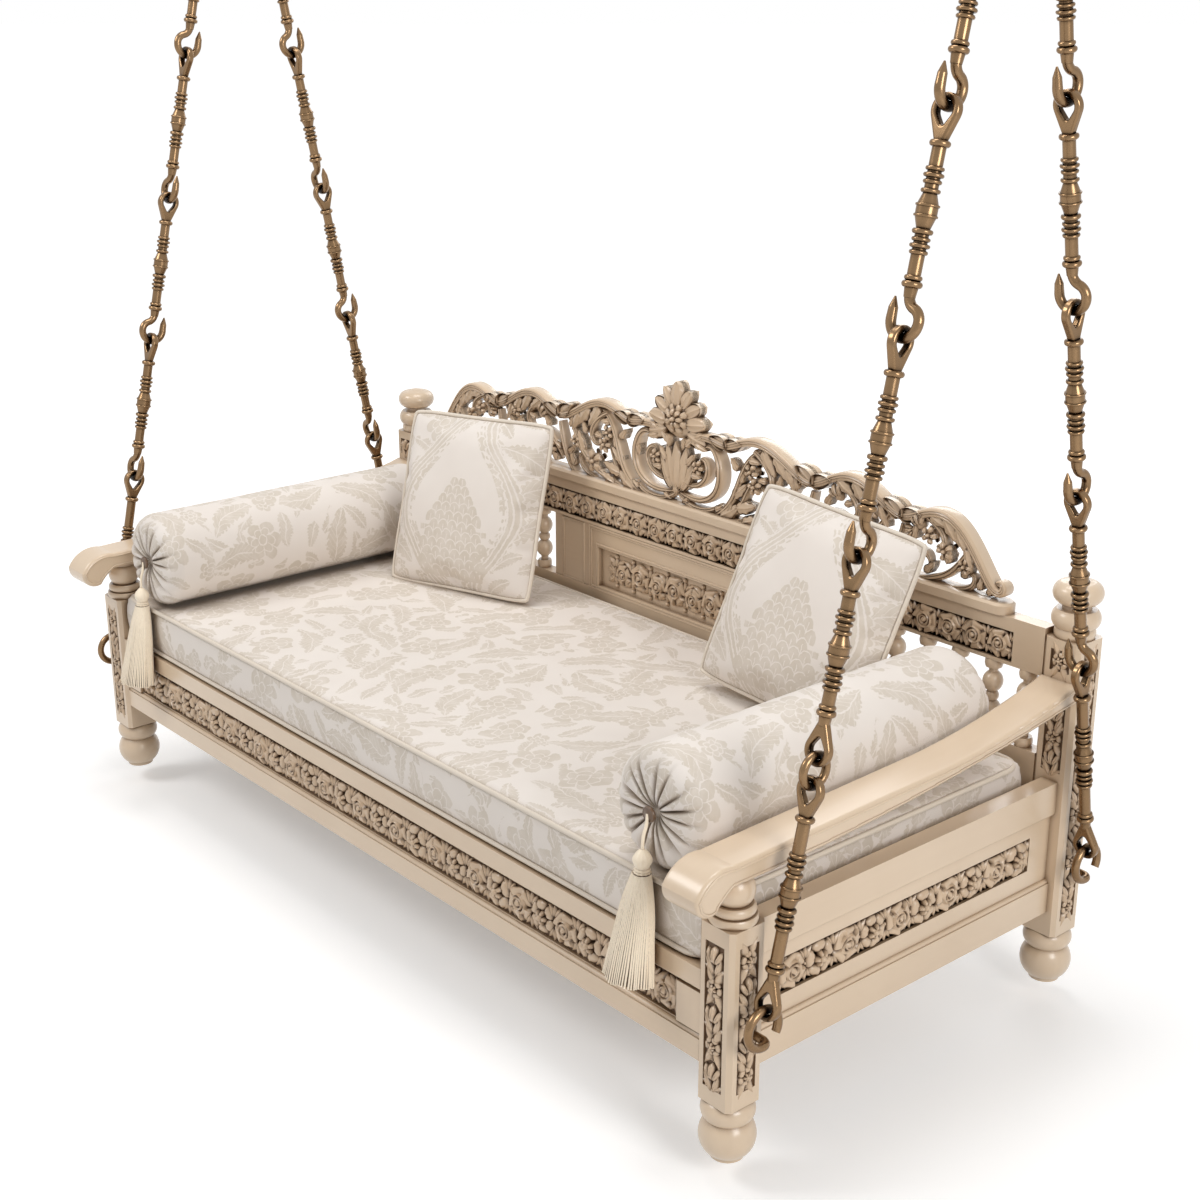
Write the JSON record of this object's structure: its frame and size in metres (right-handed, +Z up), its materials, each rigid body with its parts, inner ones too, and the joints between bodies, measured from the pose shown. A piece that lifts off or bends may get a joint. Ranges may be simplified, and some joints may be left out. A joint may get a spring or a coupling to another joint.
{
  "type": "jhoola swing",
  "caption": "Carved wooden swing seat with a pierced crest, mattress, bolsters and cushions, hung on jointed brass link chains from ceiling plates.",
  "frame": {"origin": "on the ceiling face, midway between the two ceiling plates and straight above the swing axis", "axes": "+X to the right seen from the front of the seat, +Y towards the backrest, +Z up"},
  "size_m": [2.04, 0.8797, 2.15],
  "materials": {
    "lacquered_wood": "satin",
    "carved_wood": "satin",
    "brass": "antiqued",
    "damask": "matte",
    "cotton_thread": "matte",
    "dark_button": "matte"
  },
  "bodies": {
    "ceiling_fittings": {"left_ceiling_plate": "brass", "right_ceiling_plate": "brass", "left_pivot_pin": "brass", "right_pivot_pin": "brass"},
    "hangers": {"left_hanger_block": "brass", "right_hanger_block": "brass"},
    "left_chains": {"left_master_ring": "brass", "front_left_chain_links": "brass", "back_left_chain_links": "brass"},
    "right_chains": {"right_master_ring": "brass", "front_right_chain_links": "brass", "back_right_chain_links": "brass", "chain_joining_ring": "brass"},
    "seat": {"left_side_bottom_rail": "lacquered_wood", "left_side_top_rail": "lacquered_wood", "left_side_panel": "lacquered_wood", "left_arm": "lacquered_wood", "right_side_bottom_rail": "lacquered_wood", "right_side_top_rail": "lacquered_wood", "right_side_panel": "lacquered_wood", "right_arm": "lacquered_wood", "front_left_post": "lacquered_wood", "front_right_post": "lacquered_wood", "back_left_post": "lacquered_wood", "back_right_post": "lacquered_wood", "front_bottom_rail": "lacquered_wood", "front_top_rail": "lacquered_wood", "front_stiles": "lacquered_wood", "back_seat_rail": "lacquered_wood", "back_bottom_rail": "lacquered_wood", "back_top_rail": "lacquered_wood", "back_panel": "lacquered_wood", "back_spindles": "lacquered_wood", "crest_base": "lacquered_wood", "deck_cleats": "lacquered_wood", "deck_slats": "lacquered_wood", "left_side_frieze": "carved_wood", "right_side_frieze": "carved_wood", "front_frieze": "carved_wood", "back_frieze": "carved_wood", "back_panel_carving": "carved_wood", "crest": "carved_wood", "post_carvings": "carved_wood", "front_left_post_hook": "brass", "front_right_post_hook": "brass", "back_left_post_hook": "brass", "back_right_post_hook": "brass", "hook_nuts": "brass"},
    "mattress": {"mattress": "damask"},
    "left_bolster": {"left_bolster": "damask", "left_bolster_button": "dark_button"},
    "right_bolster": {"right_bolster": "damask", "right_bolster_button": "dark_button"},
    "left_cushion": {"left_cushion": "damask"},
    "right_cushion": {"right_cushion": "damask"},
    "left_tassel": {"left_tassel_cord": "cotton_thread", "left_tassel": "cotton_thread"},
    "right_tassel": {"right_tassel_cord": "cotton_thread", "right_tassel": "cotton_thread"}
  },
  "joints": [
    {"name": "swing", "type": "hinge", "parent": "ceiling_fittings", "child": "hangers", "pos_m": [0, 0, -0.04], "axis": [1, 0, 0], "range_deg": [-25, 25]},
    {"name": "side_sway", "type": "hinge", "parent": "hangers", "child": "left_chains", "pos_m": [-0.95, 0, -0.09], "axis": [0, 1, 0], "range_deg": [-2.8, 2.8]},
    {"name": "left_hook_pivot", "type": "hinge", "parent": "left_chains", "child": "seat", "pos_m": [-0.95, -0.039, -1.913], "axis": [0, 1, 0], "range_deg": [-3.2, 3.2]},
    {"name": "right_hook_pivot", "type": "hinge", "parent": "seat", "child": "right_chains", "pos_m": [0.95, -0.039, -1.913], "axis": [0, 1, 0], "range_deg": [-3.2, 3.2]},
    {"name": "mattress_lift", "type": "slide", "parent": "seat", "child": "mattress", "axis": [0, 0, 1], "range_m": [0, 0.3]},
    {"name": "left_bolster_lift", "type": "slide", "parent": "mattress", "child": "left_bolster", "axis": [0, 0, 1], "range_m": [0, 0.3]},
    {"name": "left_cushion_lift", "type": "slide", "parent": "mattress", "child": "left_cushion", "axis": [0, 0, 1], "range_m": [0, 0.45]},
    {"name": "left_tassel_swing", "type": "hinge", "parent": "left_bolster", "child": "left_tassel", "pos_m": [-0.737, -0.4235, -1.6694], "axis": [1, 0, 0], "range_deg": [-60, 0]},
    {"name": "right_bolster_lift", "type": "slide", "parent": "mattress", "child": "right_bolster", "axis": [0, 0, 1], "range_m": [0, 0.3]},
    {"name": "right_cushion_lift", "type": "slide", "parent": "mattress", "child": "right_cushion", "axis": [0, 0, 1], "range_m": [0, 0.45]},
    {"name": "right_tassel_swing", "type": "hinge", "parent": "right_bolster", "child": "right_tassel", "pos_m": [0.737, -0.4235, -1.6694], "axis": [1, 0, 0], "range_deg": [-60, 0]}
  ],
  "couplings": [
    {"joint": "left_hook_pivot", "follows": "side_sway", "ratio": -1},
    {"joint": "right_hook_pivot", "follows": "side_sway", "ratio": 1}
  ]
}
